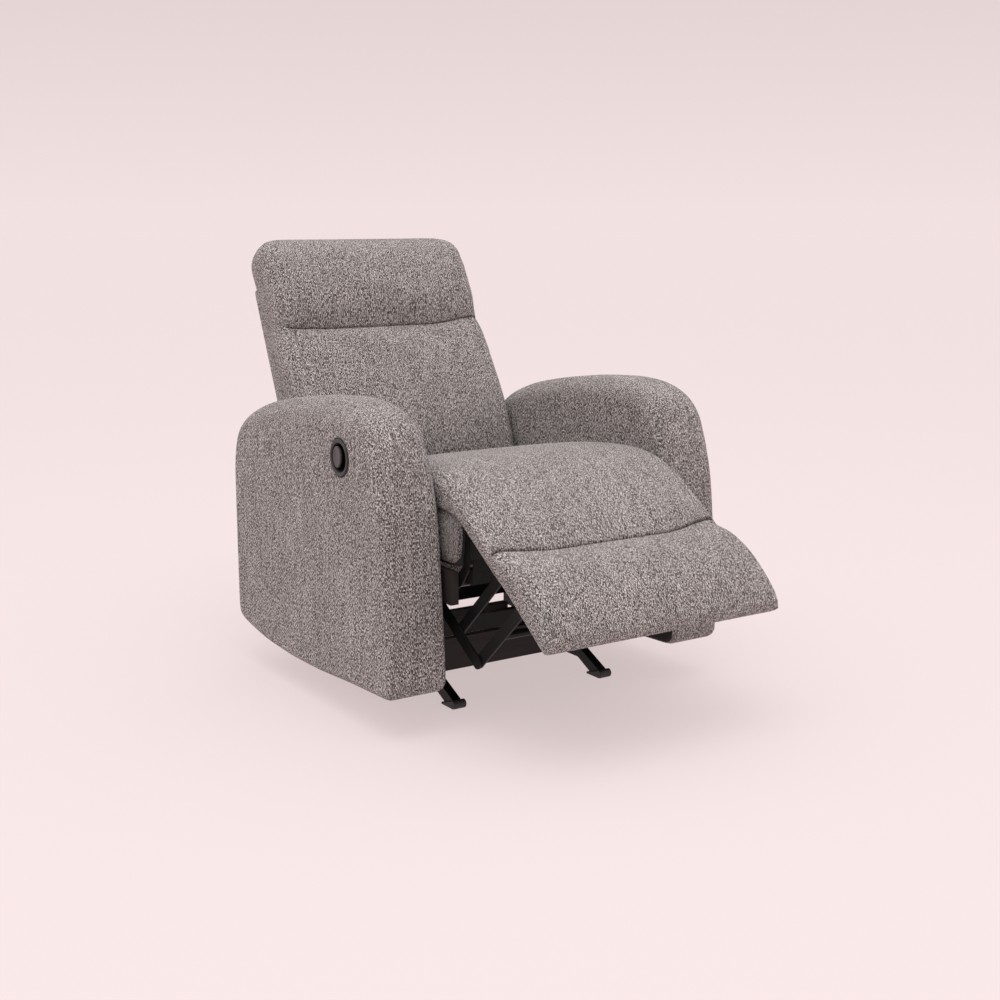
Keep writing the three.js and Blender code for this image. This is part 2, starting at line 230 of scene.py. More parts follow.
def cloth_coordinates(n, lie, normal, on_side):
    """Distances across, along and through the cloth.

    They are stored by the piece, or read off its upright faces; a wrapped piece stores them for its
    edges only, and they are read off the object on its sides.
    """
    x, y, z = n.split(n.coordinates)
    if lie != "upright":
        node = n.tree.nodes.new("ShaderNodeAttribute")
        node.attribute_name = "cloth"
        across, along, through = n.split(node.outputs["Vector"])
        if lie == "stored":
            return across, along, through
        return across, n.choose(on_side, along, z), n.choose(on_side, through, y)
    level = n.math("GREATER_THAN", n.math("ABSOLUTE", normal[2]), LEVEL_TURN)
    return x, n.choose(level, z, y), n.choose(level, y, z)


# shade scales every yarn tone; below 1 it is painted shade, for a piece that lies in shadow
def woven_fabric(name, lie, shade=1.0, side_pitch=YARN_PITCH):
    """Heathered cloth: short floats of yarn in threads, each float in a tone unlike its neighbours'.

    Each thread also keeps a tone of its own for a few centimetres, which makes faint streaks. The threads are
    counted along an axis, so where the cloth turns away from it they are set closer, in a few steps.
    """
    n = Nodes(name)
    normal = n.split(n.tree.nodes.new("ShaderNodeNewGeometry").outputs["Normal"])
    sideways = n.math("ABSOLUTE", normal[0])
    on_side = n.math("GREATER_THAN", sideways, SIDE_TURN)
    level = n.math("SQRT", n.math("SUBTRACT", 1.0, n.math("MULTIPLY", sideways, sideways)))
    closer = n.math("SNAP", n.math("ADD", n.choose(on_side, level, sideways), 0.05), 0.1)
    across, along, through = cloth_coordinates(n, lie, normal, on_side)
    wander = n.math("MULTIPLY", n.math("SUBTRACT", n.noise(90, detail=1.0), 0.5), THREAD_WANDER)
    column = n.math("DIVIDE", n.math("ADD", across, wander), YARN_PITCH)
    layer = n.math("DIVIDE", n.math("ADD", through, wander), side_pitch)
    thread = n.math("DIVIDE", n.choose(on_side, column, layer), closer)
    depth = n.choose(on_side, layer, column)
    row = n.math("DIVIDE", n.math("MULTIPLY_ADD", wander, 1.5, along), FLOAT_LENGTH)
    own = n.random(thread, depth, row)
    around = 0.0
    for aside, ahead in ((-1, 0), (1, 0), (0, -1), (0, 1)):
        neighbour = n.random(n.math("ADD", thread, aside), depth, n.math("ADD", row, ahead))
        around = n.math("MULTIPLY_ADD", neighbour, 0.25, around)
    float_round = n.math("PINGPONG", row, 0.5)
    thread_round = n.math("PINGPONG", thread, 0.5)
    fibre = n.noise(1300, detail=1.0)
    mottle = n.noise(11, detail=3.0)
    tone = n.math("MULTIPLY_ADD", n.math("SUBTRACT", own, around), 0.90, n.math("MULTIPLY", fibre, 0.5))
    tone = n.math("MULTIPLY_ADD", float_round, 0.36, tone)
    tone = n.math("MULTIPLY_ADD", thread_round, 0.30, tone)
    streak = n.random(thread, depth, n.math("DIVIDE", along, STREAK_LENGTH))
    tone = n.math("MULTIPLY_ADD", streak, 0.26, tone)
    tone = n.math("SUBTRACT", tone, 0.055)
    yarn = n.ramp(tone, *((at, tuple(shade * c for c in color)) for at, color in YARN_TONES))
    cloudy = n.tree.nodes.new("ShaderNodeVectorMath")
    cloudy.operation = "SCALE"
    n.link(yarn, cloudy.inputs[0])
    n.link(n.spread(mottle, 0.3, 0.7, 0.93, 1.06), cloudy.inputs["Scale"])
    n.set(Base_Color=cloudy.outputs["Vector"], Roughness=n.spread(tone, 0.3, 0.7, 0.98, 0.88))
    n.set(Specular_IOR_Level=0.2, Sheen_Weight=0.12, Sheen_Roughness=0.5, Sheen_Tint=(0.9, 0.88, 0.87, 1))
    relief = n.math("MULTIPLY_ADD", float_round, 0.6, thread_round)
    n.bump(n.math("MULTIPLY_ADD", own, 0.3, relief), 0.8, 0.0011)
    return n.material


def lining_cloth():
    n = Nodes("black lining cloth")
    fleck = n.noise(700)
    n.set(Base_Color=n.ramp(fleck, (0.3, (0.006, 0.006, 0.006)), (0.75, (0.028, 0.026, 0.027))))
    n.set(Roughness=0.95)
    n.bump(fleck, 0.5, 0.0006)
    return n.material


def powder_coat():
    n = Nodes("black powder coat")
    peel = n.noise(900)
    smear = n.noise(22, detail=4.0)
    n.set(Base_Color=n.ramp(smear, (0.25, (0.003, 0.003, 0.003)), (0.8, (0.007, 0.0068, 0.0068))))
    n.set(Roughness=n.spread(smear, 0.25, 0.75, 0.36, 0.56), Metallic=0.0, Specular_IOR_Level=0.22)
    n.bump(peel, 0.25, 0.0003)
    return n.material


def stained_plywood(name, axis):
    n = Nodes(name)
    stretch = {"X": (0.06, 1, 1), "Y": (1, 0.06, 1), "Z": (1, 1, 0.06)}[axis]
    grain = n.noise(90, stretch, detail=5.0, roughness=0.65)
    figure = n.noise(14, stretch, detail=2.0)
    pores = n.noise(480, stretch, detail=1.0)
    tone = n.math("ADD", n.math("MULTIPLY", grain, 0.55), n.math("MULTIPLY", figure, 0.45))
    wood = n.ramp(
        n.spread(tone, 0.32, 0.68),
        (0.0, (0.007, 0.0045, 0.0042)),
        (0.5, (0.014, 0.0090, 0.0078)),
        (1.0, (0.030, 0.0195, 0.0165)),
    )
    n.set(Base_Color=n.mix(n.spread(pores, 0.55, 0.75), wood, (0.009, 0.006, 0.005)))
    n.set(Roughness=n.spread(grain, 0.3, 0.7, 0.62, 0.82))
    n.bump(n.math("ADD", grain, n.math("MULTIPLY", pores, 0.5)), 0.3, 0.0006)
    return n.material


def moulded_plastic(name, low, high, roughness):
    n = Nodes(name)
    spark = n.noise(1500, detail=1.0)
    haze = n.noise(30, detail=3.0)
    n.set(Base_Color=n.ramp(haze, (0.3, low), (0.7, high)))
    n.set(Roughness=n.spread(haze, 0.3, 0.7, roughness, roughness + 0.12), Specular_IOR_Level=0.5)
    n.bump(spark, 0.2, 0.0002)
    return n.material


def spring_wire():
    n = Nodes("spring wire")
    stain = n.noise(60, detail=4.0)
    n.set(Base_Color=n.ramp(stain, (0.3, (0.12, 0.12, 0.125)), (0.75, (0.26, 0.26, 0.265))))
    n.set(Metallic=1.0, Roughness=n.spread(stain, 0.3, 0.7, 0.35, 0.6))
    n.bump(n.noise(400), 0.2, 0.0002)
    return n.material


CLOTH = woven_fabric("heathered cloth on cushions", "stored")
SIDE_CLOTH = woven_fabric("heathered cloth on panels", "upright")
# The seat box's cloth is darkened to 0.72 as painted shade, for the shadow between the arm and the leg rest
BOX_CLOTH_IN_PAINTED_SHADE = woven_fabric("heathered cloth on the seat box, darkened as painted shade", "upright", 0.72)
ARM_CLOTH = woven_fabric("heathered cloth on arms", "wrapped", side_pitch=ARM_SIDE_PITCH)
LINING = lining_cloth()
STEEL = powder_coat()
PLY = {axis: stained_plywood(f"stained plywood along {axis}", axis) for axis in "XYZ"}
SHOE = moulded_plastic("moulded shoe", (0.010, 0.010, 0.010), (0.020, 0.019, 0.019), 0.45)
BEZEL = moulded_plastic("satin latch plastic", (0.012, 0.011, 0.011), (0.022, 0.020, 0.020), 0.34)
CUP = moulded_plastic("matt cup plastic", (0.0025, 0.0022, 0.0022), (0.0045, 0.0040, 0.0040), 0.80)
PADDLE = moulded_plastic("latch pull plastic", (0.048, 0.045, 0.044), (0.070, 0.066, 0.064), 0.42)
WIRE = spring_wire()

NODE_FINISHES = [
    (("base_rail", "glide_hanger", "swing_arm", "glide_carrier", "chassis_cross", "side_plate"), STEEL),
    (("recline_plate", "back_bracket", "legrest_bracket", "lower_link", "front_strut", "rear_strut"), STEEL),
    (("torque_tube", "strut_tube"), STEEL),
    (("side_rail",), PLY["Y"]),
    (("front_rail", "rear_rail", "base_cross", "legrest_board"), PLY["X"]),
    (("arm_panel", "back_frame"), PLY["Z"]),
    (("foot_shoe",), SHOE),
    (("latch_housing",), BEZEL),
    (("latch_paddle",), PADDLE),
    (("seat_spring",), WIRE),
    (("seat_front_liner", "release_cable"), LINING),
]

EDGE_ROUNDING = {STEEL: 0.0007, **{wood: 0.0015 for wood in PLY.values()}}  # metres
SHARP_EDGE = math.radians(50)

for name, node in frame["nodes"].items():
    finish = next((m for prefixes, m in NODE_FINISHES if name.startswith(prefixes)), SIDE_CLOTH)
    node.data.materials.clear()
    node.data.materials.append(finish)
    if finish in EDGE_ROUNDING:
        edges = node.modifiers.new("rounded edges", "BEVEL")
        edges.width, edges.segments = EDGE_ROUNDING[finish], 2
        edges.limit_method, edges.angle_limit = "ANGLE", SHARP_EDGE


# ---- Mesh helpers --------------------------------------------------------------------------------

SPLINE_STEPS = 24  # from one given point to the next
ROW_STEP = 11  # mm between the rows of a pad's mesh
CORNER_STEPS = 7
SEAM_ROWS = (0.03, 0.1, 0.2, 0.34, 0.52, 0.75, 1.0)  # shares of the seam's width
SEAM_FADE = 26
CREASE_WIDTH = 7.5
ENDLESS = 1e9  # further than any pad reaches


def spline(points, count):
    """count points evenly spaced along a smooth curve through the given side-view points."""
    p = np.asarray(points, float)
    padded = np.vstack([2 * p[0] - p[1], p, 2 * p[-1] - p[-2]])
    t = np.linspace(0, 1, SPLINE_STEPS, endpoint=False)[:, None]
    fine = []
    for a, b, c, d in zip(padded, padded[1:], padded[2:], padded[3:]):
        second, third = 2 * a - 5 * b + 4 * c - d, 3 * b - a - 3 * c + d
        fine.append(0.5 * (2 * b + (c - a) * t + second * t**2 + third * t**3))
    fine = np.vstack([*fine, p[-1:]])
    length = run_along(fine)
    at = np.linspace(0, length[-1], count)
    return np.stack([np.interp(at, length, fine[:, i]) for i in range(p.shape[1])], axis=1)


def run_along(line):
    """Distance from the first point of a line to each of its points."""
    return np.concatenate([[0], np.cumsum(np.linalg.norm(np.diff(line, axis=0), axis=1))])


def make_object(name, verts, faces, material):
    mesh = bpy.data.meshes.new(name)
    mesh.from_pydata([tuple(v) for v in verts], [], [tuple(f) for f in faces])
    mesh.materials.append(material)
    mesh.polygons.foreach_set("use_smooth", [True] * len(mesh.polygons))
    mesh.update()
    piece = bpy.data.objects.new(name, mesh)
    bpy.context.scene.collection.objects.link(piece)
    return piece


def smooth_step(value, low, high):
    t = min(max((value - low) / (high - low), 0.0), 1.0)
    return t * t * (3 - 2 * t)


def edge_steps(half, radius):
    """Offsets across a pad: even steps between two rounded edges."""
    flat = half - radius
    middle = np.linspace(-flat, flat, max(2, int(round(2 * flat / ROW_STEP))) + 1)
    curve = [flat + radius * math.sin(math.pi / 2 * (i + 1) / CORNER_STEPS) for i in range(CORNER_STEPS)]
    return [-x for x in reversed(curve)] + list(middle) + curve


def round_share(offset, half, radius):
    """Share of the full thickness left at an offset, where the edges are quarter circles."""
    t = max(0.0, (abs(offset) - (half - radius)) / radius)
    return math.sqrt(max(0.0, 1 - t * t))


def with_seam(offsets, place, width):
    """The same offsets with close rows round a seam in place of the even ones."""
    kept = [x for x in offsets if abs(x - place) > width * 1.15]
    rows = [width * t for t in SEAM_ROWS]
    return sorted([*kept, place, *(place + d for d in rows), *(place - d for d in rows)])


class Seam:
    """A sewn line, where the fabric on each side rolls down into a narrow valley. All lengths are in mm.

    ends are the places where it fades out, lift is how far it climbs near each side of the pad, and
    overhang how far the fabric beyond it (before it, if negative) hangs over the valley. crease is the
    share of the depth that the crease in its bottom takes.
    """

    def __init__(self, at, depth, width, overhang=0, ends=(-ENDLESS, ENDLESS), lift=(0, 0), crease=0):
        self.at, self.depth, self.width, self.overhang = np.array(at, float), depth, width, overhang
        self.ends, self.lift, self.crease = ends, lift, crease

    def strength(self, place):
        low, high = self.ends
        return smooth_step(place, low - SEAM_FADE, low) * (1 - smooth_step(place, high, high + SEAM_FADE))

    def sink(self, d, place):
        """Depth of the valley at offset d: a wide roll with a sharp crease in its bottom."""
        widths = (self.width, min(self.width, CREASE_WIDTH))
        roll, crease = (1 - math.sqrt(1 - (1 - min(abs(d) / width, 1)) ** 2) for width in widths)
        pucker = 1 + 0.07 * math.sin(place / 9.0) + 0.05 * math.sin(place / 5.3 + 1.0)
        return self.depth * pucker * ((1 - self.crease) * roll + self.crease * crease)

    def slide(self, d, x):
        """Shift along the pad at offset d from the seam, x being -1 and 1 at the pad's sides."""
        t = min(abs(d) / self.width, 1.0)
        hang = -self.overhang * math.sin(math.pi * math.sqrt(t)) if d * self.overhang > 0 else 0.0
        return hang + self.lift[x > 0] * smooth_step(abs(x), 0.45, 1.0) * (1 - t)


class SideView:
    """A pad's top and bottom line in mm, read by the distance along the top one."""

    def __init__(self, top, bottom):
        length = np.linalg.norm(np.diff(np.asarray(top, float), axis=0), axis=1).sum()
        fine = max(8, int(round(length / ROW_STEP))) * 8
        self.top, self.bottom = spline(top, fine + 1), spline(bottom, fine + 1)
        self.run = run_along(self.top)
        self.total = self.run[-1]

    def nearest(self, point):
        return self.run[np.argmin(np.linalg.norm(self.top - point, axis=1))]

    def read(self, line, distance):
        return np.array([np.interp(distance, self.run, line[:, i]) for i in range(2)])

    def tangent(self, distance):
        ahead, behind = self.read(self.top, distance + 2), self.read(self.top, distance - 2)
        return (ahead - behind) / (np.linalg.norm(ahead - behind) + 1e-9)


def closed_form(columns, upper, lower, pins, cloth):
    """Vertices and faces of an upper and a lower sheet that share their rim; adds to pins and cloth."""
    count = len(upper) // columns
    verts = list(upper)
    below = {}
    for r in range(count):
        for c in range(columns):
            flat = r * columns + c
            if r in (0, count - 1) or c in (0, columns - 1):
                below[r, c] = flat
            else:
                below[r, c] = len(verts)
                verts.append(lower[flat])
                pins.append(1.0)
                cloth.append((cloth[flat][0], cloth[flat][1], -cloth[flat][2]))
    faces = []
    for r in range(count - 1):
        for c in range(columns - 1):
            a = r * columns + c
            faces.append((a, a + 1, a + columns + 1, a + columns))
            faces.append((below[r, c], below[r + 1, c], below[r + 1, c + 1], below[r, c + 1]))
    return verts, faces


def line_underside(piece, material, distances, across, edge, end):
    """Gives the lower faces of a pad, apart from those at its edges and ends, a material of their own."""
    piece.data.materials.append(material)
    middles = [[(a + b) / 2 for a, b in zip(steps, steps[1:])] for steps in (distances, across)]
    first, last = distances[0] + 1.2 * end, distances[-1] - 1.2 * end
    lined = []
    for distance in middles[0]:
        for offset in middles[1]:
            lined += [0, int(first < distance < last and abs(offset) < across[-1] - 1.2 * edge)]
    piece.data.polygons.foreach_set("material_index", lined)


def pad(name, top, bottom, half, material, local=CHAIR, edge=24, end=18, crown=0, narrowing=None,
        square=2.0, seams=(), channels=(), under=None):
    """A padded form between two side-view outlines, closed along a line round its middle height.

    half is its half width, edge and end the depth of its rounded sides and ends, crown how far its top
    bulges in the middle, narrowing(y, z) how much narrower it is at a point of its side view, and
    square how boxy its section is. Seams run across it, channels along it, and under is the material of
    its lower side. The vertex group "pin" holds what the cloth simulation leaves in place, and the
    attribute "cloth" where each point lies in the cloth.
    """
    view = SideView(top, bottom)
    total = view.total
    distances = [offset + total / 2 for offset in edge_steps(total / 2, end)]
    places = [view.nearest(seam.at) for seam in seams]
    for place, seam in zip(places, seams):
        distances = with_seam(distances, place, seam.width)
    across = edge_steps(half, edge)
    for channel in channels:
        across = with_seam(across, channel.at, channel.width)
    upper, lower, pins, cloth = [], [], [], []
    for distance in distances:
        share = round_share(distance - total / 2, total / 2, end)
        at_top, at_bottom = view.read(view.top, distance), view.read(view.bottom, distance)
        tangent = view.tangent(distance)
        centre, rise = (at_top + at_bottom) / 2, (at_top - at_bottom) / 2
        depth = np.linalg.norm(rise)
        normal = rise / (depth + 1e-9)
        middle = math.sin(math.pi * min(max(distance / total, 0), 1))
        reach = 1 - (narrowing(*at_top) if narrowing else 0) / half
        for x in across:
            k = round_share(x, half, edge)
            thickness = (share * k) ** (2 / square)
            bulge = crown * (1 - (x / half) ** 2) * min(1.0, middle * 1.6)
            high = centre + rise * thickness + normal * bulge * thickness
            pin = 1.0 if share < 0.35 or k < 0.55 else 0.0
            for place, seam in zip(places, seams):
                d = distance - place
                if abs(d) <= seam.width:
                    strength = seam.strength(x) * smooth_step(k, 0.1, 0.9)
                    high = high - normal * seam.sink(d, x) * strength
                    high = high + tangent * seam.slide(d, x / half) * strength
                    pin = max(pin, strength * (1 - min(abs(d) / (0.12 * seam.width), 1)))
            for channel in channels:
                strength = channel.strength(distance) * share
                high = high - normal * channel.sink(x - channel.at, distance) * strength
                pin = max(pin, strength * (1 - min(abs(x - channel.at) / (0.3 * channel.width), 1)))
            upper.append((x * reach, *high))
            lower.append((x * reach, *(centre - rise * thickness)))
            cloth.append((x, distance, depth * thickness))
            pins.append(pin)
    verts, faces = closed_form(len(across), upper, lower, pins, cloth)
    piece = make_object(name, local.place(verts), faces, material)
    if under:
        line_underside(piece, under, distances, across, edge, end)
    group = piece.vertex_groups.new(name="pin")
    for i, weight in enumerate(pins):
        if weight > 0:
            group.add([i], weight, "REPLACE")
    lay_cloth(piece, cloth)
    outward(piece)
    return piece


def lay_cloth(piece, distances):
    """Stores where each vertex lies in the cloth, given in mm across, along and through it."""
    lie = piece.data.attributes.new("cloth", "FLOAT_VECTOR", "POINT")
    lie.data.foreach_set("vector", (np.array(distances) * MM).ravel())


PRESSURE = 4.0
GROWTH = 0.015
PUFF_LIMIT = 12 * MM  # how far a point may move out
PUFF_FRAMES = 20
INWARD_SHARE = 0.1  # of what the simulation does inwards


def puff(piece):
    """Inflates a pad by cloth simulation round its pins; points move along their normals, mostly outwards."""
    modifier = piece.modifiers.new("cloth", "CLOTH")
    cloth = modifier.settings
    cloth.quality = 6
    cloth.mass = 0.3
    cloth.tension_stiffness = cloth.compression_stiffness = 15
    cloth.shear_stiffness = 5
    cloth.bending_stiffness = 0.6
    cloth.shrink_min = -GROWTH
    cloth.use_pressure = True
    cloth.uniform_pressure_force = PRESSURE
    cloth.vertex_group_mass = "pin"
    cloth.effector_weights.gravity = 0
    scene = bpy.context.scene
    modifier.point_cache.frame_start, modifier.point_cache.frame_end = 1, PUFF_FRAMES
    for number in range(1, PUFF_FRAMES + 1):
        scene.frame_set(number)
    graph = bpy.context.evaluated_depsgraph_get()
    settled = piece.evaluated_get(graph).to_mesh()
    count = len(piece.data.vertices)
    before, after, normal = (np.empty(count * 3) for _ in range(3))
    piece.data.vertices.foreach_get("co", before)
    piece.data.vertices.foreach_get("normal", normal)
    settled.vertices.foreach_get("co", after)
    piece.evaluated_get(graph).to_mesh_clear()
    piece.modifiers.remove(modifier)
    scene.frame_set(1)
    before, after, normal = (a.reshape(-1, 3) for a in (before, after, normal))
    out = ((after - before) * normal).sum(1, keepdims=True)
    out = np.where(out > 0, 1, INWARD_SHARE) * PUFF_LIMIT * np.tanh(out / PUFF_LIMIT)
    piece.data.vertices.foreach_set("co", (before + out * normal).ravel())
    piece.data.update()


def outward(piece):
    """Turns every face of a closed mesh to face out."""
    b = bmesh.new()
    b.from_mesh(piece.data)
    bmesh.ops.remove_doubles(b, verts=b.verts, dist=1e-6)
    bmesh.ops.recalc_face_normals(b, faces=b.faces)
    b.to_mesh(piece.data)
    b.free()


def subdivide(piece):
    modifier = piece.modifiers.new("smooth", "SUBSURF")
    modifier.levels = modifier.render_levels = 1


# ---- Seat and leg rest ---------------------------------------------------------------------------

def on_chair(local, points):
    """Side-view points of a local frame, in mm, as points of the chair's own side view."""
    world = local.place([(0, y, z) for y, z in points]) / MM
    return [(y, z) for _, y, z in world]


def chaise_pad():
    """The seat's top and the leg rest's pad, in one cover with a seam sewn across the leg rest."""
    top = [(262, 428), (200, 445), (113, 463), (0, 484), (-71, 495), (-150, 502), (-205, 502), (-250, 494),
           (-290, 477), (-330, 454), (-370, 428), (-402, 407)]
    top += on_chair(LEG, [(-126, 55), (-160, 67), (-203, 73), (-240, 71), (-285, 62), (-317, 50),
                          (-334, 35)])
    bottom = [(262, 380), (200, 385), (113, 400), (0, 415), (-71, 425), (-150, 432), (-205, 434), (-250, 434),
              (-285, 430), (-310, 420), (-340, 401), (-369, 382)]
    bottom += on_chair(LEG, [(-126, 10), (-160, 10), (-203, 10), (-240, 10), (-285, 10), (-317, 10),
                             (-337, 12)])
    sewn_at = on_chair(LEG, [(-119, 52)])[0]
    seam = Seam(sewn_at, depth=24, width=42, overhang=-5, lift=(-22, -28), crease=0.6)
    borders = [Seam(x, depth=2.2, width=7) for x in (-257, 257)]

    def flare(y, z):
        """The leg rest's pad is a little wider than the seat's, most at its lower end."""
        return -5 * smooth_step(-y, 470, 620)

    return pad("chaise_pad", top, bottom, 273, CLOTH, edge=18, end=13, crown=4, square=3.2, narrowing=flare,
               seams=[seam], channels=borders, under=LINING)


def seat_box():
    """The seat's body under its cover: cloth darkened as painted shade on its sides, black lining in front
    and underneath.
    """
    top = [(258, 383), (113, 406), (0, 420), (-100, 432), (-250, 440), (-314, 428)]
    bottom = [(258, 330), (113, 330), (0, 330), (-100, 330), (-250, 328), (-304, 334)]
    piece = pad("seat_box", top, bottom, 271, BOX_CLOTH_IN_PAINTED_SHADE, edge=18, end=22, square=3.0)
    piece.data.materials.append(LINING)
    liner_half = 262 * MM
    for face in piece.data.polygons:
        in_front = face.normal.y < -0.5 and abs(face.center.x) < liner_half
        face.material_index = int(face.normal.z < -0.5 or in_front)
    return piece


chaise = chaise_pad()
puff(chaise)
box = seat_box()
for piece in (chaise, box):
    subdivide(piece)
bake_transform(chaise)
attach(box, "chassis")
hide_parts("seat_cushion")
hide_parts("legrest_pad_upper", "legrest_pad_lower")


# ---- Backrest ------------------------------------------------------------------------------------

def back_shell():
    """The panel over the back's rear face, which stops under the roll of the head pillow."""
    top = [(14, 44), (14, 120), (14, 250), (14, 400), (14, 480), (14, 564)]
    bottom = [(50, 36), (51, 120), (51, 250), (51, 400), (50, 480), (49, 568)]
    return pad("back_shell", top, bottom, 263, SIDE_CLOTH, BACK, edge=12, end=10, square=3.4)


def back_cover():
    """Back cushion and head pillow in one cover, rolled over the top of the back."""
    top = [(-78, 58), (-93, 91), (-104, 163), (-103, 234), (-93, 310), (-84, 370), (-77, 410), (-72, 440),
           (-77, 475), (-79, 520), (-74, 570), (-61, 622), (-42, 656), (-17, 673), (3, 677)]
    bottom = [(30, 52), (36, 91), (38, 163), (38, 234), (38, 310), (38, 370), (38, 410), (38, 440),
              (38, 480), (38, 530), (41, 575), (44, 608), (41, 642), (29, 663), (9, 673)]
    crest = 680

    def narrowing(y, z):
        """The pillow is a little narrower than the cushion, rounded at its corners and crowned on top."""
        rounding = 0
        for height, inward in ((56, 56), (30, 52)):
            t = min(max((z - crest) / height + 1, 0.0), 1.0)
            rounding += inward * (1 - math.sqrt(1 - t * t))
        return 8 * smooth_step(z, 400, 480) + rounding

    seam = Seam((-72, 440), depth=50, width=78, overhang=16, ends=(-238, ENDLESS), lift=(6, 18), crease=0.65)
    borders = [Seam(x, depth=2.6, width=8, ends=(0, 372)) for x in (-240, 240)]
    return pad("back_cover", top, bottom, 279, CLOTH, BACK, edge=32, end=10, crown=3, square=3.0,
               narrowing=narrowing, seams=[seam], channels=borders)


shell = back_shell()
cover = back_cover()
puff(cover)
for piece, nodes in ((shell, ["back_panel"]), (cover, ["back_cushion", "head_pillow"])):
    subdivide(piece)
    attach(piece, "backrest")
    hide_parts(*nodes)


# ---- Arms ----------------------------------------------------------------------------------------

# Distances from the chair's middle plane, a point of the side view, and edge radii, in mm
ARM_INNER = 281.0
ARM_OUTER = 409.8
ARM_CENTRE = np.array([70.0, 340.0])
EDGE_RADIUS = 14
TOP_RADIUS = 42
PROFILE_POINTS = 200
LINED_BELOW = 0.36  # metres; the seat hides the inner faces under this
LATCH_HOLE_RADIUS = 30.8 * MM
LATCH_HOLE_DEPTH = 32 * MM


def arm_profile():
    """Closed side-view outline of an arm, in mm."""
    crown = [(-243, 540), (-232, 574), (-209, 602), (-178, 621), (-133, 634), (-70, 639), (10, 636),
             (118, 626), (247, 604), (324, 582), (375, 558), (405, 528), (418, 486)]
    rear = [(420, 440), (421, 300), (421, 160), (419, 118), (408, 98), (380, 88)]
    belly = [(330, 79), (272, 71), (200, 67), (140, 65), (26, 67), (-107, 75), (-200, 79), (-262, 82)]
    front = [(-280, 90), (-287, 108), (-284, 180), (-268, 373), (-251, 500)]
    loop = np.array([*crown, *rear, *belly, *front], float)
    # The curve runs past its first point at both ends, and one round is cut from it
    overrun = np.vstack([loop[-2:], loop, loop[:3]])
    dense = spline(overrun, SPLINE_STEPS * len(overrun))
    start = np.argmin(np.linalg.norm(dense[: SPLINE_STEPS * 6] - loop[0], axis=1))
    stop = len(dense) // 2 + np.argmin(np.linalg.norm(dense[len(dense) // 2 :] - loop[0], axis=1))
    return spline(dense[start : stop + 1 : 4], PROFILE_POINTS + 1)[:-1]


def inset(profile, depth):
    """Each point moved towards the arm's centre until it is depth inside the outline."""
    start, along = profile, np.roll(profile, -1, axis=0) - profile
    low, high = np.zeros(len(profile)), np.ones(len(profile)) * 0.8
    for _ in range(18):
        mid = (low + high) / 2
        p = profile + (ARM_CENTRE - profile) * mid[:, None]
        t = np.clip(((p[:, None] - start) * along).sum(2) / (along**2).sum(1), 0, 1)
        near = np.linalg.norm(p[:, None] - (start + t[..., None] * along), axis=2).min(1)
        low = np.where(near < depth, mid, low)
        high = np.where(near < depth, high, mid)
    return profile + (ARM_CENTRE - profile) * ((low + high) / 2)[:, None]


def arm_rings(profile, half):
    """Rings from an arm's middle plane round its edge to one face: outline, reach and cloth distance."""
    height = np.clip((profile[:, 1] - 420) / 190, 0, 1)
    roundness = EDGE_RADIUS + (TOP_RADIUS - EDGE_RADIUS) * height * height * (3 - 2 * height)
    rings = []
    for angle in np.linspace(0, math.pi / 2, 11):
        outline = inset(profile, roundness * (1 - math.cos(angle)) + 1e-3)
        reach = half - roundness * (1 - math.sin(angle))
        rings.append((outline, reach, half - roundness * (1 - angle)))
    outline, _, across = rings[-1]
    for share in np.linspace(0.06, 0.94, 14):
        rings.append((outline + (ARM_CENTRE - outline) * share, np.full(len(profile), half), across))
    return rings


def arm_pad(side, sign):
    """An arm of two rounded faces joined along their rims; the cloth goes round it from its lowest point."""
    profile = arm_profile()
    walk = run_along(profile)
    length = walk[-1] + np.linalg.norm(profile[0] - profile[-1])
    walk = (walk - walk[np.argmin(profile[:, 1])]) % length
    half, middle = (ARM_OUTER - ARM_INNER) / 2, (ARM_OUTER + ARM_INNER) / 2
    rings = arm_rings(profile, half)
    count = len(profile)
    verts, faces, cloth = [], [], []
    for face_sign in (1, -1):
        for ring, reach, across in rings:
            xs = sign * (middle + face_sign * reach)
            verts.extend(zip(xs, ring[:, 0], ring[:, 1]))
            cloth.extend(zip(face_sign * across, walk, np.full(len(walk), 40.0 * face_sign)))
        verts.append((sign * (middle + face_sign * half), *ARM_CENTRE))
        cloth.append((0, 0, 0))
    block = len(rings) * count + 1
    for base in (0, block):
        for row in range(base, base + (len(rings) - 1) * count, count):
            for i in range(count):
                a, b = row + i, row + (i + 1) % count
                faces.append((a, b, b + count, a + count))
        tip = base + block - 1
        for i in range(count):
            faces.append((tip - count + i, tip - count + (i + 1) % count, tip))
    for i in range(count):
        j = (i + 1) % count
        faces.append((i, j, block + j, block + i))
    piece = make_object(f"arm_{side}", CHAIR.place(verts), faces, ARM_CLOTH)
    lay_cloth(piece, cloth)
    outward(piece)
    piece.data.materials.append(LINING)
    for face in piece.data.polygons:
        face.material_index = int(face.normal.x * sign < -0.7 and face.center.z < LINED_BELOW)
    return piece


def cut_latch_hole(arm):
    """Opens the outer face of the right arm for the latch's cup."""
    low, high = box_of("latch_housing")
    bpy.ops.mesh.primitive_cylinder_add(
        vertices=48, radius=LATCH_HOLE_RADIUS, depth=LATCH_HOLE_DEPTH * 2,
        location=(low[0], *((low + high) / 2)[1:]), rotation=(0, math.pi / 2, 0),
    )
    cutter = bpy.context.object
    modifier = arm.modifiers.new("latch hole", "BOOLEAN")
    modifier.object, modifier.solver = cutter, "EXACT"
    graph = bpy.context.evaluated_depsgraph_get()
    opened = bpy.data.meshes.new_from_object(arm.evaluated_get(graph))
    arm.modifiers.clear()
    arm.data = opened
    bpy.data.objects.remove(cutter)


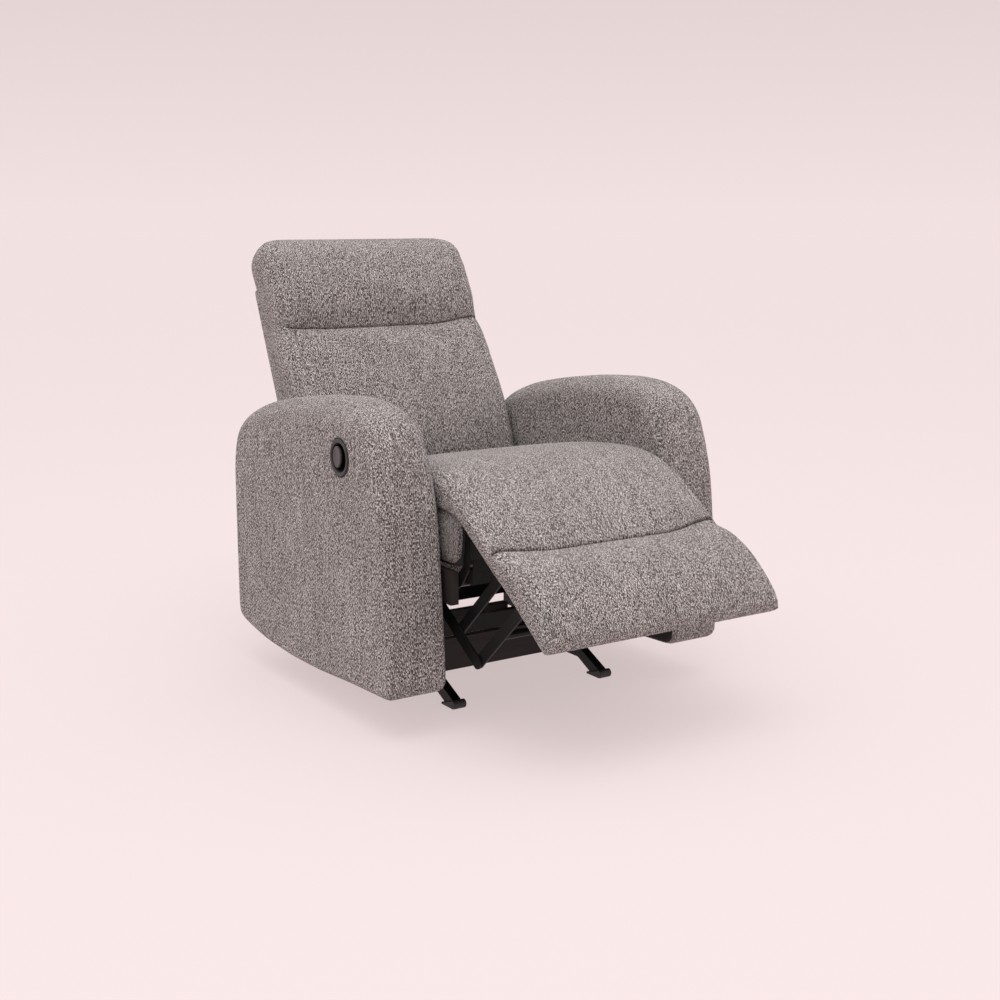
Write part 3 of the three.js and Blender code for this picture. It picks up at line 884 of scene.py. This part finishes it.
for side, sign in (("left", 1), ("right", -1)):
    arm = arm_pad(side, sign)
    if side == "right":
        cut_latch_hole(arm)
    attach(arm, "chassis")
    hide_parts(f"arm_pad_{side}")


# ---- Release latch -------------------------------------------------------------------------------

TURN_STEPS = 96
FLANGE = 3.2  # height of the latch's rim over the arm's outer face
RIM_RADIUS = 36.6
FOOT_TOP = 1.1  # height of the thin matt foot that the glossier rim stands on


def turned_about_x(name, centre, profile, scale, material):
    """A closed turned form: profile lists its radius in mm and its height out of the arm's outer face."""
    first, *between, last = profile
    verts = [(-first[1], 0, 0), (-last[1], 0, 0)]
    for radius, height in between:
        for i in range(TURN_STEPS):
            a = 2 * math.pi * i / TURN_STEPS
            verts.append((-height, scale[0] * radius * math.cos(a), scale[1] * radius * math.sin(a)))
    tail = 2 + (len(between) - 1) * TURN_STEPS
    faces = []
    for i in range(TURN_STEPS):
        j = (i + 1) % TURN_STEPS
        faces += [(0, 2 + i, 2 + j), (1, tail + j, tail + i)]
        for ring in range(2, tail, TURN_STEPS):
            faces.append((ring + i, ring + j, ring + TURN_STEPS + j, ring + TURN_STEPS + i))
    piece = make_object(name, np.array(verts) * MM + centre, faces, material)
    outward(piece)
    return piece


def latch_bezel():
    """The cup in the arm: a thin dark foot on the fabric, a rolled rim and a matt inside."""
    low, high = box_of("latch_housing")
    centre = np.array([low[0] + FLANGE * MM, *((low + high) / 2)[1:]])
    foot = [(38.4, 0.2), (39, 0.4), (39, 0.8), (38.4, FOOT_TOP), (RIM_RADIUS, FOOT_TOP)]
    rim = [(36.5, 1.9), (36.0, 2.6), (35.0, 3.1), (33.6, FLANGE), (32.0, 3.0), (30.6, 2.4), (29.4, 1.4)]
    cup = [(28.5, 0.0), (28.0, -2.0), (28.0, -21), (27, -24), (24, -25), (0, -25)]
    profile = [(0, -27), (28.6, -27), (30, -25.6), (30, 0.2), *foot, *rim, *cup]
    piece = turned_about_x("latch_bezel", centre, profile, (1, 1), BEZEL)
    piece.data.materials.append(CUP)
    for face in piece.data.polygons:
        out = (centre[0] - face.center.x) / MM
        radius = math.hypot(face.center.y - centre[1], face.center.z - centre[2]) / MM
        face.material_index = int(radius > RIM_RADIUS or out < FOOT_TOP)
    return piece


def latch_pull():
    """The oval pull, with a slightly dished face."""
    low, high = box_of("latch_paddle")
    middle = (low + high) / 2
    half = (high - low) / 2 / MM
    face, back = half[0], -half[0]
    outline = [(0, back), (0.90, back), (0.96, back + 0.4), (1, back + 1.4), (1, face - 1.6),
               (0.975, face - 0.8), (0.93, face - 0.2), (0.87, face), (0.80, face - 0.3),
               (0.66, face - 1.0), (0.45, face - 1.5), (0.2, face - 1.7), (0, face - 1.75)]
    return turned_about_x("latch_pull", middle, outline, half[1:], PADDLE)


bezel, pull = latch_bezel(), latch_pull()
for piece, body, node in ((bezel, "chassis", "latch_housing"), (pull, "latch", "latch_paddle")):
    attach(piece, body)
    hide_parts(node)


# ---- Stage, light and camera ---------------------------------------------------------------------

FLOOR_COLOR = (0.235, 0.210, 0.210)
# The floor's glow is painted light: it lifts the shadow under the chair
FLOOR_PAINTED_GLOW = (0.581, 0.491, 0.491)
HORIZON = (0.890, 0.754, 0.752)  # as bright as the floor's rim
LOW_SKY = (0.775, 0.655, 0.658)
ZENITH = (1.50, 1.46, 1.46)
SKY = [(0.0, HORIZON), (0.14, LOW_SKY), (0.30, HORIZON), (0.75, ZENITH)]  # by the sine of the elevation
SKY_STRENGTH = 2.0
FLOOR_RADII = [0.5, 1, 2, 4, 8, 16, 32, 60]
FLOOR_STEPS = 64
SENSOR_WIDTH = 36


def studio_floor():
    """A wide pale floor with a painted glow of its own that pales the chair's shadow on it, as bright at its
    rim as the sky there.
    """
    angles = [2 * math.pi * i / FLOOR_STEPS for i in range(FLOOR_STEPS)]
    verts = [(0, 0, 0), *((r * math.cos(a), r * math.sin(a), 0) for r in FLOOR_RADII for a in angles)]
    faces = []
    for i in range(1, 1 + FLOOR_STEPS):
        j = i % FLOOR_STEPS + 1
        faces.append((0, i, j))
        for ring in range(0, (len(FLOOR_RADII) - 1) * FLOOR_STEPS, FLOOR_STEPS):
            faces.append((ring + i, ring + FLOOR_STEPS + i, ring + FLOOR_STEPS + j, ring + j))
    n = Nodes("studio floor")
    n.set(Base_Color=(*FLOOR_COLOR, 1), Roughness=0.95, Specular_IOR_Level=0.0)
    # Painted light: the floor glows though it is no lamp, which pales the chair's shadow and lights the
    # chair's underside from below
    n.set(Emission_Color=(*FLOOR_PAINTED_GLOW, 1), Emission_Strength=1.0)
    floor = make_object("studio_floor", verts, faces, n.material)


def area_light(name, position, aim, size, power):
    data = bpy.data.lights.new(name, "AREA")
    data.shape, data.size, data.energy = "DISK", size, power
    light = bpy.data.objects.new(name, data)
    light.location = position
    light.rotation_euler = (Vector(aim) - Vector(position)).to_track_quat("-Z", "Y").to_euler()
    bpy.context.scene.collection.objects.link(light)


def studio_light():
    """A pale sky, brighter overhead, with one large soft light above the chair."""
    world = bpy.data.worlds.new("studio")
    world.use_nodes = True
    tree = world.node_tree
    direction = tree.nodes.new("ShaderNodeTexCoord").outputs["Generated"]
    parts = tree.nodes.new("ShaderNodeSeparateXYZ")
    ramp = tree.nodes.new("ShaderNodeValToRGB")
    tree.links.new(direction, parts.inputs["Vector"])
    tree.links.new(parts.outputs["Z"], ramp.inputs["Fac"])
    elements = ramp.color_ramp.elements
    for position, _ in SKY[1:-1]:
        elements.new(position)
    for stop, (position, color) in zip(elements, SKY):
        stop.position, stop.color = position, (*(c / SKY_STRENGTH for c in color), 1)
    background = tree.nodes["Background"]
    tree.links.new(ramp.outputs["Color"], background.inputs["Color"])
    background.inputs["Strength"].default_value = SKY_STRENGTH
    bpy.context.scene.world = world
    area_light("overhead", (-0.9, -1.1, 4.6), (0, 0, 0.4), 3.6, 80)


def studio_camera():
    a, e = math.radians(VIEW_AZIMUTH), math.radians(VIEW_ELEVATION)
    back = Vector((math.sin(a) * math.cos(e), -math.cos(a) * math.cos(e), math.sin(e)))
    data = bpy.data.cameras.new("camera")
    data.lens, data.sensor_width = LENS, SENSOR_WIDTH
    camera = bpy.data.objects.new("camera", data)
    camera.location = Vector(VIEW_AIM) + back * VIEW_DISTANCE
    camera.rotation_euler = (-back).to_track_quat("-Z", "Y").to_euler()
    bpy.context.scene.collection.objects.link(camera)
    bpy.context.scene.camera = camera


studio_floor()
studio_light()
studio_camera()
bpy.context.scene.view_settings.view_transform = "Standard"
